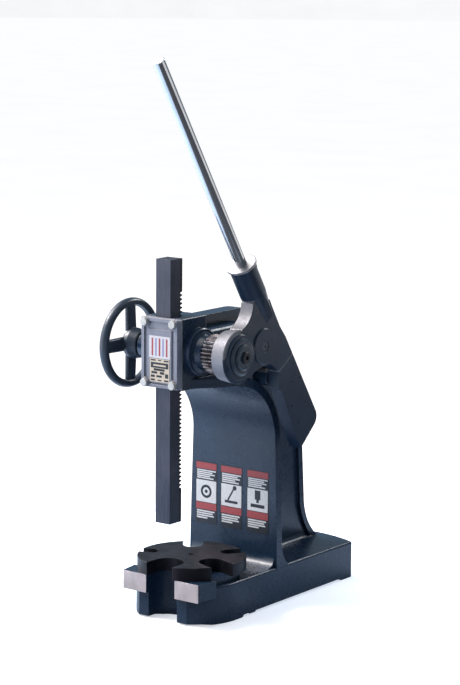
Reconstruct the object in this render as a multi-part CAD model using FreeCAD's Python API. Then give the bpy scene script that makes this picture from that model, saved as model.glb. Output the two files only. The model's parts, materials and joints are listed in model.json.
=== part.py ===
# Ratchet arbor press, 3-ton class, in millimetres.
# Origin: on the platen's turning axis, at floor level under the base.
# +Z is up, +X is the operator's right (lever side), -Y faces the operator.
import FreeCAD, Part
import math
import os

V = FreeCAD.Vector

# ---------------------------------------------------------------- driving dimensions
RUN = 0.05                  # radial clearance of a running fit
SEAT = 0.02                 # radial clearance of a seated part
GAP = 0.3                   # air gap between parts that only pass or face each other

RAM = 44.45                 # ram, square bar of 1 3/4 in
RAM_LENGTH = 637.0
RAM_Y = -93.7               # ram axis in front of the platen's turning axis
RAM_BOTTOM = 241.0
MODULE = 3.175              # 8 diametral pitch
PINION_TEETH = 14
RACK_GAPS_BELOW = 33        # tooth gaps below the one in mesh, with the ram as drawn
RACK_GAPS_ABOVE = 14
PRESSURE_ANGLE = math.radians(20.0)

PITCH_RADIUS = MODULE * PINION_TEETH / 2.0
RACK_PITCH = math.pi * MODULE
SHAFT_Y = RAM_Y + RAM / 2.0 - MODULE + PITCH_RADIUS
SHAFT_Z = 656.0

BASE_HALF = 135.0           # half width of the base, and radius of its round front
BASE_BACK = 503.0           # back corners of the base
BACK_BULGE = 30.0           # bow of the base's back edge
BASE_TOP = 94.0
SEAT_TOP = 109.0            # machined seat that the platen lies on
HORN_FRONT = -114.0         # flat front of the two horns beside the throat
BOSS_FRONT = -124.0         # machined front bosses
THROAT_HALF = 43.5
HORN_BACK = -74.0           # where the raised horns fall to the base's top
SEAT_RADIUS = 118.0
ACROSS = 200.0              # reach of tools that cut right across the base

PLATEN_RADIUS = 133.35
PLATEN_THICK = 32.0

COLUMN_FRONT = 168.5        # front face of the column's front flange
COLUMN_ROUND = 28.0         # round between the column's face and the base's top
FLANGE = 22.0
RIB = 18.0                  # thickness of the outer flange
WEB_HALF = 14.0
RIB_HALF = 22.0             # half width of the outer (top and back) flange
ARM_UNDER = 569.0           # flat underside of the arm
THROAT_ARC = 160.0          # inside radius between column and arm
ARC_Y = COLUMN_FRONT - THROAT_ARC
ARC_Z = ARM_UNDER - THROAT_ARC
RIB_TOP = 732.0
HEAD_TOP = 741.0
HEAD_HALF = 55.0
HEAD_FRONT = RAM_Y - 17.0
HEAD_BACK = RAM_Y + 77.0

LEVER_LEAN = math.radians(33.0)     # forward lean of the lever as drawn
LEVER_OFFSET = 140.0                # lever axis behind the shaft axis, across the lever
SOCKET_TOP = 166.0                  # socket mouth above the shaft axis, along the lever
LEVER_X = 160.0
ROD_RADIUS = 14.25
ROD_LENGTH = 652.0
ROD_DEPTH = 75.0
PAWL_ACROSS = 87.0                  # pawl pivot, in lever coordinates
PAWL_ALONG = -41.0
PAWL_PIN = 9.0
WHEEL_TEETH = 30
WHEEL_TIP = 47.0
WHEEL_ROOT = 42.0
PAWL_LIFT = 7.0                     # degrees between parked and engaged
DIAGONAL = math.sqrt(0.5)

os.makedirs("parts", exist_ok=True)


# ---------------------------------------------------------------- helpers
def box(x, y, z):
    """Box from three (low, high) pairs."""
    return Part.makeBox(x[1] - x[0], y[1] - y[0], z[1] - z[0], V(x[0], y[0], z[0]))


def rod_x(radius, x0, x1, y=SHAFT_Y, z=SHAFT_Z):
    """Cylinder along X."""
    return Part.makeCylinder(radius, x1 - x0, V(x0, y, z), V(1, 0, 0))


def rod_z(radius, z0, z1, x=0.0, y=0.0):
    """Cylinder along Z."""
    return Part.makeCylinder(radius, z1 - z0, V(x, y, z0), V(0, 0, 1))


def rod_y(radius, y0, y1, x, z):
    """Cylinder along Y."""
    return Part.makeCylinder(radius, y1 - y0, V(x, y0, z), V(0, 1, 0))


def turned_x(profile, y=SHAFT_Y, z=SHAFT_Z):
    """Solid turned about an axis along X from (x, radius) corners."""
    points = [V(x, y, z + radius) for x, radius in profile]
    points = [V(profile[0][0], y, z)] + points + [V(profile[-1][0], y, z)]
    face = Part.Face(Part.makePolygon(points + [points[0]]))
    return face.revolve(V(0, y, z), V(1, 0, 0), 360)


def line(a, b):
    return Part.LineSegment(a, b).toShape()


def arc(a, middle, b):
    return Part.Arc(a, middle, b).toShape()


def prism(edges, direction):
    return Part.Face(Part.Wire(edges)).extrude(direction)


def prism_x(points, x0, x1):
    """Prism along X from (y, z) corners."""
    corners = [V(x0, y, z) for y, z in points]
    return Part.Face(Part.makePolygon(corners + [corners[0]])).extrude(V(x1 - x0, 0, 0))


def prism_z(points, z0, z1):
    """Prism along Z from (x, y) corners."""
    corners = [V(x, y, z0) for x, y in points]
    return Part.Face(Part.makePolygon(corners + [corners[0]])).extrude(V(0, 0, z1 - z0))


def polar(radius, degrees, cy=SHAFT_Y, cz=SHAFT_Z):
    """(y, z) at a radius and an angle from +Y towards +Z."""
    angle = math.radians(degrees)
    return (cy + radius * math.cos(angle), cz + radius * math.sin(angle))


def on_lever(along, across):
    """(y, z) of a point given along the lever (up) and across it (backwards) from the shaft axis."""
    y = SHAFT_Y - along * math.sin(LEVER_LEAN) + across * math.cos(LEVER_LEAN)
    z = SHAFT_Z + along * math.cos(LEVER_LEAN) + across * math.sin(LEVER_LEAN)
    return (y, z)


def lever_vector(along, across, x):
    y, z = on_lever(along, across)
    return V(x, y, z)


LEVER_UP = V(0, -math.sin(LEVER_LEAN), math.cos(LEVER_LEAN))
LEVER_BACK = V(0, math.cos(LEVER_LEAN), math.sin(LEVER_LEAN))


def rod_lever(radius, along0, along1, across=LEVER_OFFSET, x=LEVER_X):
    """Cylinder along the lever."""
    return Part.makeCylinder(radius, along1 - along0, lever_vector(along0, across, x), LEVER_UP)


def mirrored(shape):
    return shape.mirror(V(0, 0, 0), V(1, 0, 0))


def hexagon(across_flats, length, start, direction):
    """Hexagonal prism for bolt heads and key sockets."""
    radius = across_flats / math.sqrt(3.0)
    turn = FreeCAD.Rotation(V(0, 0, 1), direction)
    corners = []
    for i in range(7):
        angle = math.radians(60 * i + 30)
        corners.append(start + turn.multVec(V(radius * math.cos(angle), radius * math.sin(angle), 0)))
    return Part.Face(Part.makePolygon(corners)).extrude(direction * length)


def fillet_where(shape, radius, test):
    """Round the edges whose middle point passes the test."""
    edges = [e for e in shape.Edges if test(e.valueAt((e.FirstParameter + e.LastParameter) / 2.0), e)]
    return shape.makeFillet(radius, edges)


def save(name, shape):
    if isinstance(shape, list):
        shape = Part.makeCompound(shape)
    else:
        shape = shape.removeSplitter()
    shape.exportStep("parts/%s.step" % name)


# ---------------------------------------------------------------- frame casting
def base_outline(z):
    """Plan of the base: flat horn front, round sides, straight flanks and a bowed back."""
    flat = math.sqrt(BASE_HALF ** 2 - HORN_FRONT ** 2)
    middle = math.radians(-25.0)
    front = V(flat, HORN_FRONT, z)
    shoulder = V(BASE_HALF * math.cos(middle), BASE_HALF * math.sin(middle), z)
    side = V(BASE_HALF, 0, z)
    corner = V(BASE_HALF, BASE_BACK, z)
    bow = V(0, BASE_BACK + BACK_BULGE, z)

    def left(p):
        return V(-p.x, p.y, p.z)

    return [
        line(left(front), front),
        arc(front, shoulder, side),
        line(side, corner),
        arc(corner, bow, left(corner)),
        line(left(corner), left(side)),
        arc(left(side), left(shoulder), left(front)),
    ]


def make_base():
    back_corner = 7.0
    top_edge = 6.0
    horn_fall = 8.0
    base = prism(base_outline(0.0), V(0, 0, BASE_TOP))
    base = fillet_where(base, back_corner, lambda p, e: p.y > BASE_BACK - 0.1 and abs(p.z - BASE_TOP / 2.0) < 1)
    base = fillet_where(base, top_edge, lambda p, e: abs(p.z - BASE_TOP) < 0.1 and p.y > HORN_BACK + 14)
    # Raised horns, falling to the base's top behind their round shoulders.
    horns = prism(base_outline(0.0), V(0, 0, SEAT_TOP))
    keep = prism_x([(-ACROSS, 0), (HORN_BACK, 0), (HORN_BACK, BASE_TOP - top_edge),
                    (HORN_BACK - horn_fall, SEAT_TOP), (-ACROSS, SEAT_TOP)], -ACROSS, ACROSS)
    base = base.fuse(horns.common(keep))
    base = base.fuse(rod_z(SEAT_RADIUS, BASE_TOP - 5, SEAT_TOP))
    boss = make_front_boss()
    base = base.fuse([boss, mirrored(boss)])
    # Throat for work that hangs below the platen, open to the front.
    throat_y = RAM_Y - 3.0
    throat = rod_z(THROAT_HALF, -1, SEAT_TOP + 1, 0, throat_y)
    throat = throat.fuse(box((-THROAT_HALF, THROAT_HALF), (-ACROSS, throat_y), (-1, SEAT_TOP + 1)))
    # Underside relieved between the front foot and the rear foot, and under the horns.
    relief = 5.5
    step = 2.5
    nose = prism_x([(-ACROSS, -1), (-ACROSS, 4), (-90, 3), (-62, -1)], -ACROSS, ACROSS)
    hollow = prism_x([(27, -1), (34, relief), (56, relief), (58, step), (80, step), (83, relief), (446, relief),
                      (458, -1)], -ACROSS, ACROSS)
    return base.cut([throat, hollow, nose])


def make_front_boss():
    """Machined boss on the right horn: its side face runs back into the curved horn."""
    inner = 40.0
    side = 115.5
    bottom = 64.0
    plan = [(inner, BOSS_FRONT), (side, BOSS_FRONT), (125.0, -66.0), (inner, -76.0)]
    boss = prism_z(plan, bottom, SEAT_TOP)
    return fillet_where(boss, 3.0, lambda p, e: p.z < bottom + 0.1 and p.y > BOSS_FRONT + 1 or
                        abs(p.x - side) < 0.1 and p.y < BOSS_FRONT + 1)


def underside_pockets():
    """Cored pockets that leave ribs and a skin."""
    skin = 22.0
    rib = 16.0
    corner = 12.0
    rows = 4
    first = 36.0
    depth = BASE_TOP - skin
    inner = BASE_HALF - skin
    pitch = (BASE_BACK - skin - first + rib) / rows
    pockets = []
    for i in range(rows):
        y0 = first + i * pitch
        for x0, x1 in ((-inner, -rib / 2.0), (rib / 2.0, inner)):
            pocket = box((x0, x1), (y0, y0 + pitch - rib), (-1, depth))
            pocket = fillet_where(pocket, corner, lambda p, e: abs(p.z - (depth - 1) / 2.0) < 2)
            pockets.append(pocket)
    return pockets


def c_profile(offset, start_z, front_end):
    """Edges of the C-shaped inner face, moved outwards by offset."""
    radius = THROAT_ARC + offset
    y = COLUMN_FRONT + offset
    z = ARM_UNDER + offset
    half = DIAGONAL * radius
    return [
        line(V(0, y, start_z), V(0, y, ARC_Z)),
        arc(V(0, y, ARC_Z), V(0, ARC_Y + half, ARC_Z + half), V(0, ARC_Y, z)),
        line(V(0, ARC_Y, z), V(0, front_end, z)),
    ]


CROWN_Y = 150.0             # where the arm's straight top edge starts to bend down
OUTER_FOOT = 512.0          # outer line at the base's top
OUTER_FLARE = 1.6           # how much faster the line moves inwards at its foot


def outer_profile(inset):
    """Edges of the frame's outer line: back of the column and top of the arm."""
    foot = V(0, OUTER_FOOT - OUTER_FLARE * inset, BASE_TOP - 4)
    flare = V(0, 468 - inset, 134)
    waist = V(0, 446 - inset, 190)
    shoulder = V(0, 434 - inset, 350)
    crown = V(0, CROWN_Y, RIB_TOP - inset)
    curve = Part.BezierCurve()
    curve.setPoles([shoulder, V(0, 421 - inset, 540), V(0, 310, RIB_TOP - inset), crown])
    return [arc(foot, flare, waist), line(waist, shoulder), curve.toShape()]


def along_x(edges, x0, x1):
    """Extrude a closed outline, drawn at x = 0, from x0 to x1."""
    solid = prism(edges, V(x1 - x0, 0, 0))
    solid.translate(V(x0, 0, 0))
    return solid


COLUMN_FOOT = BASE_TOP - 4          # the column starts a little inside the base
FLANGE_BACK = COLUMN_FRONT + FLANGE


def make_column():
    flange = make_inner_flange()
    foot_block = make_flange_foot()
    web_foot = make_web_foot()
    return make_web().fuse([flange, make_column_round(), foot_block, web_foot, mirrored(web_foot)])


def make_web():
    """C-shaped web with its outer flange, recessed on both sides."""
    inner = c_profile(0.0, COLUMN_FOOT, HEAD_BACK - 20)
    outer = outer_profile(0.0)
    arm_end = V(0, HEAD_BACK - 20, ARM_UNDER)
    arm_top = V(0, HEAD_BACK - 20, RIB_TOP)
    closing = [line(arm_end, arm_top), line(arm_top, V(0, CROWN_Y, RIB_TOP))]
    bottom = line(V(0, OUTER_FOOT, COLUMN_FOOT), V(0, COLUMN_FRONT, COLUMN_FOOT))
    body = along_x(inner + closing + outer[::-1] + [bottom], -RIB_HALF, RIB_HALF)

    beyond = 14.0
    below = COLUMN_FOOT - 5
    rib_foot = OUTER_FOOT - OUTER_FLARE * RIB
    corners = [V(0, rib_foot, COLUMN_FOOT), V(0, rib_foot, below), V(0, FLANGE_BACK, below)]
    arm_low = V(0, 0, ARM_UNDER + FLANGE)
    arm_high = V(0, 0, RIB_TOP - RIB)
    edges = c_profile(FLANGE, below, 0.0)
    edges = edges + [line(arm_low, arm_high), line(arm_high, V(0, CROWN_Y, RIB_TOP - RIB))]
    edges = edges + outer_profile(RIB)[::-1] + [line(corners[0], corners[1]), line(corners[1], corners[2])]
    recess = along_x(edges, WEB_HALF, RIB_HALF + beyond)
    return body.cut([recess, mirrored(recess)])


def column_elevation():
    """Front view of the column, widest at its foot, as a tool that trims its flange."""
    waist = 125.5
    taper = [(BASE_HALF, COLUMN_FOOT), (BASE_HALF - 1.0, 150.0), (waist, 444.0), (waist, 620.0)]
    taper = taper + [(-x, z) for x, z in taper[::-1]]
    corners = [V(x, -ACROSS, z) for x, z in taper]
    return Part.Face(Part.makePolygon(corners + [corners[0]])).extrude(V(0, OUTER_FOOT, 0))


def arm_plan():
    """Top view of the arm, narrow at the head and swelling to the column's width."""
    full = V(127, 60, 0)
    swell = Part.BSplineCurve()
    swell.interpolate([V(HEAD_HALF, HEAD_FRONT, 0), V(66, -58, 0), V(90, -29, 0), V(108, 7, 0),
                       V(121, 29, 0), full])
    right = swell.toShape()
    beside = V(160, full.y, 0)
    behind = V(beside.x, 400, 0)
    far = [line(full, beside), line(beside, behind)]
    closing = [line(behind, V(-behind.x, behind.y, 0)),
               line(V(-HEAD_HALF, HEAD_FRONT, 0), V(HEAD_HALF, HEAD_FRONT, 0))]
    edges = [right, mirrored(right)] + far + [mirrored(edge) for edge in far] + closing
    return Part.Face(Part.Wire(Part.__sortEdges__(edges))).extrude(V(0, 0, 900))


def make_inner_flange():
    """Wide inner flange of the C: the column's face and the underside of the arm."""
    end = HEAD_FRONT + 4
    flange_in = c_profile(0.0, COLUMN_FOOT, end)
    flange_out = c_profile(FLANGE, COLUMN_FOOT, end)
    bottom = line(V(0, COLUMN_FRONT, COLUMN_FOOT), V(0, FLANGE_BACK, COLUMN_FOOT))
    front = line(V(0, end, ARM_UNDER), V(0, end, ARM_UNDER + FLANGE))
    flange = along_x([bottom] + flange_out + [front] + flange_in[::-1], -BASE_HALF, BASE_HALF)
    return flange.common(column_elevation()).common(arm_plan())


def make_column_round():
    """Round between the base's top and the column's face."""
    corner = V(0, COLUMN_FRONT, BASE_TOP)
    on_base = V(0, COLUMN_FRONT - COLUMN_ROUND, BASE_TOP)
    on_face = V(0, COLUMN_FRONT, BASE_TOP + COLUMN_ROUND)
    bend = COLUMN_ROUND * (1 - DIAGONAL)
    middle = V(0, COLUMN_FRONT - bend, BASE_TOP + bend)
    half = BASE_HALF - 8
    return along_x([line(on_base, corner), line(corner, on_face), arc(on_face, middle, on_base)], -half, half)


def make_flange_foot():
    """Foot of the flange, which thickens backwards where it stands on the base."""
    spread = 27.0
    top = BASE_TOP + 58
    below = BASE_TOP - 3
    inside = FLANGE_BACK - 5
    heel = V(0, FLANGE_BACK + spread, BASE_TOP)
    edges = [line(V(0, inside, below), V(0, inside, top)),
             line(V(0, inside, top), V(0, FLANGE_BACK, top)),
             arc(V(0, FLANGE_BACK, top), V(0, FLANGE_BACK + 7, BASE_TOP + 24), heel),
             line(heel, V(0, heel.y, below)),
             line(V(0, heel.y, below), V(0, inside, below))]
    return along_x(edges, -BASE_HALF, BASE_HALF).common(column_elevation())


def make_web_foot():
    """Round where the right side of the web stands on the base."""
    radius = 14.0
    bend = radius * (1 - DIAGONAL)
    low = V(WEB_HALF + radius, FLANGE_BACK, BASE_TOP)
    high = V(WEB_HALF, FLANGE_BACK, BASE_TOP + radius)
    corner = V(WEB_HALF - 2, FLANGE_BACK, BASE_TOP - 3)
    under = V(low.x, FLANGE_BACK, corner.z)
    inside = V(corner.x, FLANGE_BACK, high.z)
    middle = V(WEB_HALF + bend, FLANGE_BACK, BASE_TOP + bend)
    length = V(0, 290, 0)
    return prism([line(corner, under), line(under, low), arc(low, middle, high), line(high, inside),
                  line(inside, corner)], length)


def make_head():
    corner = 5.0
    head = box((-HEAD_HALF, HEAD_HALF), (HEAD_FRONT, HEAD_BACK), (ARM_UNDER, HEAD_TOP))
    head = fillet_where(head, corner, lambda p, e: p.y > HEAD_BACK - 0.1 and abs(abs(p.x) - HEAD_HALF) < 0.1
                        or p.z > HEAD_TOP - 0.1 and p.y > HEAD_FRONT + 1)
    # Thick side walls behind the head, up to a rounded shelf below the top rib.
    shelf_top = 703.0
    shelf_back = 132.0
    shelf_round = 14.0
    shelf = box((-HEAD_HALF, HEAD_HALF), (HEAD_BACK - 5, shelf_back), (ARM_UNDER + 5, shelf_top))
    shelf = fillet_where(shelf, shelf_round, lambda p, e: abs(p.x) > HEAD_HALF - 5
                         and (p.z > shelf_top - 0.1 or p.y > shelf_back - 0.1))
    # Bearing bosses with turned noses on both sides.
    left_nose = [(-104, 33), (-102, 35), (-76, 42), (-72, 50), (-72, 55), (-69.5, 57.5)]
    right_nose = [(69.5, 57.5), (72, 55), (72, 50), (76, 42), (90, 38), (92, 36)]
    return [head, shelf, turned_x(left_nose + right_nose)]


LEFT_BUSH = (-104.0, -26.0)
RIGHT_BUSH = (26.0, 92.0)
LEFT_BUSH_RADIUS = 22.0
RIGHT_BUSH_RADIUS = 28.0
PIN_RADIUS = 8.0            # the platen's pin
PIN_DEPTH = 25.0            # below the base's top
BOLT_RADIUS = 6.35
BOLT_X = 42.0
BOLT_Z = 73.0
COVER_BACK = HEAD_FRONT - 3.0
COVER_FRONT = RAM_Y - 37.0


def bolt_places():
    return [(x, SHAFT_Z + z) for x in (-BOLT_X, BOLT_X) for z in (-BOLT_Z, BOLT_Z)]


def make_frame():
    frame = make_base().fuse([make_column()] + make_head())
    frame = frame.removeSplitter()
    way = RAM / 2.0 + RUN
    cuts = [box((-way, way), (HEAD_FRONT - 20, RAM_Y + way), (ARM_UNDER - 5, HEAD_TOP + 5))]
    cuts.append(rod_x(PITCH_RADIUS + MODULE + 1.6, LEFT_BUSH[1], RIGHT_BUSH[0]))
    cuts.append(rod_x(LEFT_BUSH_RADIUS + SEAT, LEFT_BUSH[0] - 1, 0))
    cuts.append(rod_x(RIGHT_BUSH_RADIUS + SEAT, 0, RIGHT_BUSH[1] + 1))
    cuts.append(rod_z(PIN_RADIUS + SEAT, BASE_TOP - PIN_DEPTH, SEAT_TOP + 1))
    for x, z in bolt_places():
        cuts.append(rod_y(BOLT_RADIUS + SEAT, HEAD_FRONT - 1, HEAD_FRONT + 34, x, z))
    frame = frame.cut(cuts)
    frame = frame.cut(underside_pockets())
    return frame


# ---------------------------------------------------------------- cover, badges and labels
COVER_HALF = 54.5
COVER_LOW = SHAFT_Z - 84.0
COVER_HIGH = SHAFT_Z + 84.0
BOLT_HOLE = BOLT_RADIUS + 0.4


def make_face_plate():
    edge = 1.0
    rim = 9.0
    panel_rise = 0.8
    pad = 13.0
    plate = box((-COVER_HALF, COVER_HALF), (COVER_FRONT + 4, COVER_BACK), (COVER_LOW, COVER_HIGH))
    plate = fillet_where(plate, 6.0, lambda p, e: abs(p.x) > COVER_HALF - 0.1
                         and not COVER_LOW + 0.1 < p.z < COVER_HIGH - 0.1)
    rim_out = box((edge - COVER_HALF, COVER_HALF - edge), (COVER_FRONT, COVER_FRONT + 5),
                  (COVER_LOW + edge, COVER_HIGH - edge))
    rim_in = box((rim - COVER_HALF, COVER_HALF - rim), (COVER_FRONT - 1, COVER_FRONT + 4),
                 (COVER_LOW + rim, COVER_HIGH - rim))
    plate = plate.fuse(rim_out.cut(rim_in))
    # Raised panel that carries the badges, and a round pad under each bolt.
    panel = box((-35, 36), (COVER_FRONT + panel_rise, COVER_FRONT + 5), (COVER_LOW + 12, SHAFT_Z + 57))
    plate = plate.fuse(panel)
    inside = box((edge - COVER_HALF, COVER_HALF - edge), (COVER_FRONT - 1, COVER_BACK),
                 (COVER_LOW + edge, COVER_HIGH - edge))
    for x, z in bolt_places():
        plate = plate.fuse(rod_y(pad, COVER_FRONT, COVER_FRONT + 6, x, z).common(inside))
    groove = RAM / 2.0 + RUN
    plate = plate.cut(box((-groove, groove), (RAM_Y - groove, COVER_BACK + 1), (COVER_LOW - 1, COVER_HIGH + 1)))
    for x, z in bolt_places():
        plate = plate.cut(rod_y(BOLT_HOLE, COVER_FRONT - 1, COVER_BACK + 1, x, z))
    return plate


def make_shims():
    inner = RAM / 2.0 + 3.0
    outer = COVER_HALF - 0.5
    shims = []
    for side in (-1, 1):
        x0, x1 = sorted((side * inner, side * outer))
        shim = box((x0, x1), (COVER_BACK + 0.1, HEAD_FRONT - 0.1), (COVER_LOW + 1, COVER_HIGH - 1))
        for x, z in bolt_places():
            shim = shim.cut(rod_y(BOLT_HOLE, COVER_BACK - 1, HEAD_FRONT + 1, x, z))
        shims.append(shim)
    return shims


def make_cover_bolts():
    flats = 19.0
    head_height = 8.5
    bolts = []
    for x, z in bolt_places():
        head = hexagon(flats, head_height, V(x, COVER_FRONT - 0.1, z), V(0, -1, 0))
        dome = Part.makeCone(12.3, 8.8, head_height + 0.5, V(x, COVER_FRONT, z), V(0, -1, 0))
        shank = rod_y(BOLT_RADIUS, COVER_FRONT - 1, HEAD_FRONT + 30, x, z)
        bolts.append(head.common(dome).fuse(shank).removeSplitter())
    return bolts


PLAQUE_THICK = 0.6
BADGE_FRONT = COVER_FRONT + 0.1
LABEL_FRONT = COLUMN_FRONT - 0.7
LABEL_Z = (173.0, 331.0)
LABEL_WIDTH = 66.0


def make_plaque(x, front, z, corner):
    """Thin plate with rounded corners, facing the operator."""
    plaque = box(x, (front, front + PLAQUE_THICK), z)
    return fillet_where(plaque, corner, lambda p, e: abs(e.Length - PLAQUE_THICK) < 0.05)


def make_badge(x, z):
    return make_plaque(x, BADGE_FRONT, z, 2.0)


def make_label(left):
    return make_plaque((left, left + LABEL_WIDTH), LABEL_FRONT, LABEL_Z, 3.0)


# ---------------------------------------------------------------- platen and ram
SLOTS = [          # direction in degrees, width, distance of the round end's centre
    (270.0, 78.0, -RAM_Y),
    (342.0, 63.5, 86.0),
    (54.0, 38.0, 92.0),
    (126.0, 50.0, 97.0),
    (198.0, 33.0, 100.0),
]


def make_platen():
    z0 = SEAT_TOP + RUN
    edge = 1.5
    platen = rod_z(PLATEN_RADIUS, z0, z0 + PLATEN_THICK)
    platen = fillet_where(platen, edge, lambda p, e: e.Length > 100 and p.z > z0 + 1)
    for direction, width, reach in SLOTS:
        slot = rod_z(width / 2.0, z0 - 1, z0 + PLATEN_THICK + 1, reach, 0)
        slot = slot.fuse(box((reach, PLATEN_RADIUS + 10), (-width / 2.0, width / 2.0),
                             (z0 - 1, z0 + PLATEN_THICK + 1)))
        slot.rotate(V(0, 0, 0), V(0, 0, 1), direction)
        platen = platen.cut(slot)
    return platen.cut(rod_z(PIN_RADIUS + RUN, z0 - 1, z0 + PLATEN_THICK + 1))


def make_platen_pin():
    return rod_z(PIN_RADIUS, BASE_TOP - PIN_DEPTH + 0.5, SEAT_TOP + PLATEN_THICK - 3.0)


def make_ram():
    half = RAM / 2.0
    edge = 1.2
    ram = box((-half, half), (RAM_Y - half, RAM_Y + half), (RAM_BOTTOM, RAM_BOTTOM + RAM_LENGTH))
    ram = fillet_where(ram, edge, lambda p, e: e.Length > RAM_LENGTH - 10 and p.y < RAM_Y)
    # Tooth gaps in the back face.
    backlash = 0.15
    face = RAM_Y + half
    slope = math.tan(PRESSURE_ANGLE)
    wide = RACK_PITCH / 4.0 + MODULE * slope + backlash
    deep = 1.25 * MODULE
    narrow = RACK_PITCH / 4.0 - deep * slope + backlash
    over = 1.0
    gaps = []
    for i in range(-RACK_GAPS_BELOW, RACK_GAPS_ABOVE + 1):
        z = SHAFT_Z + i * RACK_PITCH
        gaps.append(prism_x([(face + over, z - wide - over * slope), (face - MODULE - deep, z - narrow),
                             (face - MODULE - deep, z + narrow), (face + over, z + wide + over * slope)],
                            -half - 1, half + 1))
    return ram.cut(gaps)


# ---------------------------------------------------------------- shaft line
SHAFT_LEFT = 17.0           # radii of the shaft, from the handwheel to the lever end
SHAFT_RIGHT = 19.0
WHEEL_SEAT = 17.5
YOKE_SEAT = 16.0
HANDWHEEL_SEAT = 14.0
END_SEAT = 11.0
SCREW_SEAT = 5.0            # end screw in the shaft's end
KEY = 6.0
KEY_DEPTH = 3.0
KEY_PROUD = 2.5
PINION_HALF = 24.0          # half length of the teeth cut on the shaft
SHAFT_LEFT_END = -158.0
HUB_FACE = -107.0           # shoulder beside the handwheel
WHEEL_FACE = 96.0           # shoulder beside the ratchet wheel
YOKE_FACE = 137.0           # shoulder beside the lever
OUTER_FACE = 183.5          # shoulder beside the end washer
WASHER_FACE = 189.2


def involute_point(base_radius, radius, half_angle, side):
    """Point of a tooth flank at a radius; half_angle is the half width at the base circle."""
    roll = math.sqrt(max((radius / base_radius) ** 2 - 1.0, 0.0))
    angle = half_angle - (roll - math.atan(roll))
    return (radius, math.degrees(side * angle))


def make_pinion():
    base_radius = PITCH_RADIUS * math.cos(PRESSURE_ANGLE)
    tip = PITCH_RADIUS + MODULE
    root = PITCH_RADIUS - 1.25 * MODULE
    backlash = 0.12
    involute = math.tan(PRESSURE_ANGLE) - PRESSURE_ANGLE
    half_angle = math.pi / (2.0 * PINION_TEETH) - backlash / PITCH_RADIUS + involute
    radii = [base_radius + (tip - base_radius) * i / 5.0 for i in range(6)]
    flank = [(root - 1, math.degrees(half_angle) - 1.5), (root + 0.3, math.degrees(half_angle) - 1.5)]
    flank = flank + [involute_point(base_radius, r, half_angle, 1) for r in radii]
    tooth_outline = flank + [(r, -a) for r, a in flank[::-1]]
    pinion = rod_x(root, -PINION_HALF, PINION_HALF)
    for i in range(PINION_TEETH):
        centre = 180.0 + 360.0 * i / PINION_TEETH
        tooth = [polar(r, centre + a) for r, a in tooth_outline]
        pinion = pinion.fuse(prism_x(tooth, -PINION_HALF, PINION_HALF))
    return pinion


def key_slot(radius, x0, x1, clearance):
    """Keyway block on top of a shaft seat."""
    half = KEY / 2.0 + clearance
    return box((x0, x1), (SHAFT_Y - half, SHAFT_Y + half),
               (SHAFT_Z + radius - KEY_DEPTH - clearance, SHAFT_Z + radius + KEY_PROUD + clearance))


HANDWHEEL_KEY = (-146.0, -116.0)
WHEEL_KEY = (102.0, 132.0)
SCREW_TIP = 168.0


def make_shaft():
    chamfer = 1.5
    shaft = turned_x([(SHAFT_LEFT_END, HANDWHEEL_SEAT - chamfer), (SHAFT_LEFT_END + chamfer, HANDWHEEL_SEAT),
                      (HUB_FACE, HANDWHEEL_SEAT), (HUB_FACE, SHAFT_LEFT), (-PINION_HALF, SHAFT_LEFT),
                      (PINION_HALF, SHAFT_LEFT), (PINION_HALF, SHAFT_RIGHT), (WHEEL_FACE, SHAFT_RIGHT),
                      (WHEEL_FACE, WHEEL_SEAT), (YOKE_FACE, WHEEL_SEAT), (YOKE_FACE, YOKE_SEAT),
                      (OUTER_FACE, YOKE_SEAT), (OUTER_FACE, END_SEAT), (WASHER_FACE, END_SEAT)])
    shaft = shaft.fuse(make_pinion())
    cuts = [key_slot(HANDWHEEL_SEAT, *HANDWHEEL_KEY, SEAT), key_slot(WHEEL_SEAT, *WHEEL_KEY, SEAT)]
    cuts.append(rod_x(SCREW_SEAT + SEAT, SCREW_TIP - 3, WASHER_FACE + 2))
    return shaft.cut(cuts)


def make_key(radius, span):
    return key_slot(radius, span[0] + 0.2, span[1] - 0.2, 0.0)


def make_left_bush():
    bush = rod_x(LEFT_BUSH_RADIUS, LEFT_BUSH[0] + 0.2, LEFT_BUSH[1])
    return bush.cut(rod_x(SHAFT_LEFT + RUN, LEFT_BUSH[0] - 1, LEFT_BUSH[1] + 1))


def make_right_bush():
    bush = rod_x(RIGHT_BUSH_RADIUS, RIGHT_BUSH[0], RIGHT_BUSH[1] - 0.2)
    return bush.cut(rod_x(SHAFT_RIGHT + RUN, RIGHT_BUSH[0] - 1, RIGHT_BUSH[1] + 1))


RIM_RADIUS = 109.5
RIM_X = (-162.0, -140.0)
SPOKES = 4
HUB_SCREW = 4.0             # radius of the handwheel's set screw
HUB_SCREW_X = -126.0


def make_rim():
    """Rim turned from a section with flat sides and rounded inside and outside."""
    x0, x1 = RIM_X
    mid = (x0 + x1) / 2.0
    bulge = 6.0
    inner = 94.0
    crest = RIM_RADIUS - bulge
    section = [V(x0, 0, inner), V(x0, 0, crest), V(x1, 0, crest), V(x1, 0, inner)]
    edges = [line(section[0], section[1]), arc(section[1], V(mid, 0, RIM_RADIUS), section[2]),
             line(section[2], section[3]), arc(section[3], V(mid, 0, inner - 4), section[0])]
    rim = Part.Face(Part.Wire(edges)).revolve(V(0, 0, 0), V(1, 0, 0), 360)
    rim.translate(V(0, SHAFT_Y, SHAFT_Z))
    return rim


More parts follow.
